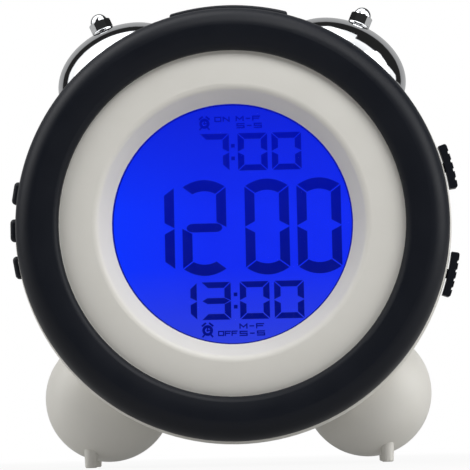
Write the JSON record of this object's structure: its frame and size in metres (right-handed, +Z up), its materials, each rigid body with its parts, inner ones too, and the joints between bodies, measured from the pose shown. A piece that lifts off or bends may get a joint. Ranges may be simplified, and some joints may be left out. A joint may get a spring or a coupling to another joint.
{
  "type": "twin bell alarm clock",
  "caption": "Round twin bell alarm clock with a blue backlit digital display, black front ring, white case on ball feet, chromed bells with a motor-driven hammer, snooze bar and side controls.",
  "frame": {"origin": "centre of the bounding box at table height", "axes": "+X to the right seen from the front, +Y from the dial to the back, +Z up"},
  "size_m": [0.1249, 0.062, 0.1316],
  "materials": {
    "black_plastic": "satin black moulding",
    "white_plastic": "warm white satin moulding",
    "clear_window": "clear polished acrylic",
    "lcd_glass": "blue backlit display glass",
    "light_spreader": "milky light spreader",
    "lamp": "small lamps",
    "strip_rubber": "soft rubber",
    "board": "green printed board",
    "component_black": "black moulded component",
    "steel": "zinc plated steel",
    "bell_chrome": "polished chrome plate",
    "cell_jacket": "printed cell jacket",
    "crank_plastic": "natural moulded plastic"
  },
  "bodies": {
    "case": {"front_ring": "black_plastic", "dial_bezel": "white_plastic", "main_case": "white_plastic", "back_cover": "white_plastic", "battery_tray": "white_plastic", "left_foot": "white_plastic", "right_foot": "white_plastic", "display_frame": "white_plastic", "display_window": "clear_window", "lcd_panel": "lcd_glass", "backlight_panel": "light_spreader", "backlight_leds": "lamp", "elastomer_connectors": "strip_rubber", "main_board": "board", "button_board": "board", "slider_board": "board", "board_components": "component_black", "button_switches": "component_black", "slide_switch_upper": "component_black", "slide_switch_lower": "component_black", "snooze_switch": "component_black", "bezel_screws": "steel", "board_screws": "steel", "case_screws": "steel", "foot_screws": "steel", "bracket_screws": "steel", "post_nuts": "steel", "bell_post_left": "steel", "bell_post_right": "steel", "ringer_bracket": "steel", "ringer_motor": "steel", "hammer_pin": "steel", "pin_clip": "steel", "battery_contacts": "steel", "bell_left": "bell_chrome", "bell_right": "bell_chrome", "bell_nut_left": "bell_chrome", "bell_nut_right": "bell_chrome", "battery_cell_top": "cell_jacket", "battery_cell_middle": "cell_jacket", "battery_cell_bottom": "cell_jacket"},
    "snooze": {"snooze_button": "black_plastic"},
    "button_upper": {"set_button_upper": "black_plastic"},
    "button_middle": {"set_button_middle": "black_plastic"},
    "button_lower": {"set_button_lower": "black_plastic"},
    "slider_upper": {"alarm_slider_upper": "black_plastic"},
    "slider_lower": {"alarm_slider_lower": "black_plastic"},
    "hammer": {"hammer_arm": "steel", "hammer_head": "bell_chrome"},
    "crank": {"motor_shaft": "steel", "crank_disc": "crank_plastic"},
    "door": {"battery_door": "white_plastic"}
  },
  "joints": [
    {"name": "snooze_press", "type": "slide", "parent": "case", "child": "snooze", "axis": [0, 0, -1], "range_m": [0, 0.0015], "stiffness_N_per_m": 1200},
    {"name": "set_upper_press", "type": "slide", "parent": "case", "child": "button_upper", "axis": [0.9854, 0, -0.1702], "range_m": [0, 0.0007], "stiffness_N_per_m": 1500},
    {"name": "set_middle_press", "type": "slide", "parent": "case", "child": "button_middle", "axis": [1, 0, 0], "range_m": [0, 0.0007], "stiffness_N_per_m": 1500},
    {"name": "set_lower_press", "type": "slide", "parent": "case", "child": "button_lower", "axis": [0.9854, 0, 0.1702], "range_m": [0, 0.0007], "stiffness_N_per_m": 1500},
    {"name": "alarm_upper_slide", "type": "slide", "parent": "case", "child": "slider_upper", "axis": [0.2419, 0, -0.9703], "range_m": [0, 0.0026]},
    {"name": "alarm_lower_slide", "type": "slide", "parent": "case", "child": "slider_lower", "axis": [0.2419, 0, 0.9703], "range_m": [0, 0.0026]},
    {"name": "hammer_swing", "type": "hinge", "parent": "case", "child": "hammer", "pos_m": [0, 0.0105, 0.1027], "axis": [0, 1, 0], "range_deg": [-7.5, 7.5]},
    {"name": "crank_turn", "type": "hinge", "parent": "case", "child": "crank", "pos_m": [0, 0.0105, 0.0942], "axis": [0, 1, 0], "range_deg": [-90, 90]},
    {"name": "door_pull", "type": "slide", "parent": "case", "child": "door", "axis": [0, 1, 0], "range_m": [0, 0.02]}
  ],
  "couplings": [
    {"joint": "crank_turn", "follows": "hammer_swing", "ratio": 12}
  ]
}
